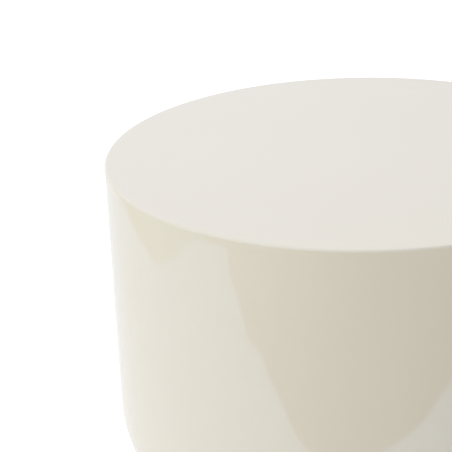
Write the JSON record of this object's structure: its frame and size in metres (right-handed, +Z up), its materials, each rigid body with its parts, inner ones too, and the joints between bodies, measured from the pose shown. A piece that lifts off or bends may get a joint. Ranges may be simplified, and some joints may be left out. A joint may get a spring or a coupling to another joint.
{
  "type": "drum table",
  "caption": "Round drum-shaped coffee or side table: flat top flush with a straight gloss-lacquered wall, large rounded lower edge, recessed plinth and screw-in levelling feet.",
  "frame": {"origin": "on the floor, under the middle of the table", "axes": "+Z up along the drum's axis, +X to the right and -Y towards the viewer"},
  "size_m": [0.5, 0.5, 0.4],
  "materials": {
    "cream_lacquer": "high-gloss cream lacquer over MDF and plywood",
    "bent_plywood": "raw bending plywood",
    "birch_plywood": "raw birch plywood",
    "pine_batten": "planed softwood",
    "plinth_lacquer": "dark satin lacquer over MDF",
    "zinc_plate": "bright zinc plate",
    "black_nylon": "moulded, satin",
    "grey_felt": "pressed wool felt"
  },
  "bodies": {
    "table": {"top_panel": "cream_lacquer", "wall_outer_ply": "cream_lacquer", "wall_inner_ply": "bent_plywood", "top_former": "birch_plywood", "bottom_former": "birch_plywood", "post_1": "pine_batten", "post_2": "pine_batten", "post_3": "pine_batten", "post_4": "pine_batten", "base_layer_1": "cream_lacquer", "base_layer_2": "cream_lacquer", "base_layer_3": "cream_lacquer", "base_layer_4": "cream_lacquer", "base_layer_5": "cream_lacquer", "plinth": "plinth_lacquer", "threaded_insert_1": "zinc_plate", "threaded_insert_2": "zinc_plate", "threaded_insert_3": "zinc_plate", "threaded_insert_4": "zinc_plate", "top_screw_1": "zinc_plate", "top_screw_2": "zinc_plate", "top_screw_3": "zinc_plate", "top_screw_4": "zinc_plate", "top_screw_5": "zinc_plate", "top_screw_6": "zinc_plate", "post_screw_1": "zinc_plate", "post_screw_2": "zinc_plate", "post_screw_3": "zinc_plate", "post_screw_4": "zinc_plate", "post_screw_5": "zinc_plate", "post_screw_6": "zinc_plate", "post_screw_7": "zinc_plate", "post_screw_8": "zinc_plate", "frame_screw_1": "zinc_plate", "frame_screw_2": "zinc_plate", "frame_screw_3": "zinc_plate", "frame_screw_4": "zinc_plate", "plinth_screw_1": "zinc_plate", "plinth_screw_2": "zinc_plate", "plinth_screw_3": "zinc_plate", "plinth_screw_4": "zinc_plate"},
    "pad_1": {"foot_pad_1": "black_nylon", "felt_disc_1": "grey_felt"},
    "pad_2": {"foot_pad_2": "black_nylon", "felt_disc_2": "grey_felt"},
    "pad_3": {"foot_pad_3": "black_nylon", "felt_disc_3": "grey_felt"},
    "pad_4": {"foot_pad_4": "black_nylon", "felt_disc_4": "grey_felt"},
    "stud_1": {"foot_stud_1": "zinc_plate"},
    "stud_2": {"foot_stud_2": "zinc_plate"},
    "stud_3": {"foot_stud_3": "zinc_plate"},
    "stud_4": {"foot_stud_4": "zinc_plate"}
  },
  "joints": [
    {"name": "foot_travel_1", "type": "slide", "parent": "table", "child": "pad_1", "axis": [0, 0, 1], "range_m": [0, 0.006]},
    {"name": "foot_turn_1", "type": "hinge", "parent": "pad_1", "child": "stud_1", "pos_m": [0.09334, 0.09334, 0], "axis": [0, 0, 1], "range_deg": [0, 1728]},
    {"name": "foot_travel_2", "type": "slide", "parent": "table", "child": "pad_2", "axis": [0, 0, 1], "range_m": [0, 0.006]},
    {"name": "foot_turn_2", "type": "hinge", "parent": "pad_2", "child": "stud_2", "pos_m": [-0.09334, 0.09334, 0], "axis": [0, 0, 1], "range_deg": [0, 1728]},
    {"name": "foot_travel_3", "type": "slide", "parent": "table", "child": "pad_3", "axis": [0, 0, 1], "range_m": [0, 0.006]},
    {"name": "foot_turn_3", "type": "hinge", "parent": "pad_3", "child": "stud_3", "pos_m": [-0.09334, -0.09334, 0], "axis": [0, 0, 1], "range_deg": [0, 1728]},
    {"name": "foot_travel_4", "type": "slide", "parent": "table", "child": "pad_4", "axis": [0, 0, 1], "range_m": [0, 0.006]},
    {"name": "foot_turn_4", "type": "hinge", "parent": "pad_4", "child": "stud_4", "pos_m": [0.09334, -0.09334, 0], "axis": [0, 0, 1], "range_deg": [0, 1728]}
  ],
  "couplings": [
    {"joint": "foot_travel_1", "follows": "foot_turn_1", "m_per_rad": 0.00019894},
    {"joint": "foot_travel_2", "follows": "foot_turn_2", "m_per_rad": 0.00019894},
    {"joint": "foot_travel_3", "follows": "foot_turn_3", "m_per_rad": 0.00019894},
    {"joint": "foot_travel_4", "follows": "foot_turn_4", "m_per_rad": 0.00019894}
  ]
}
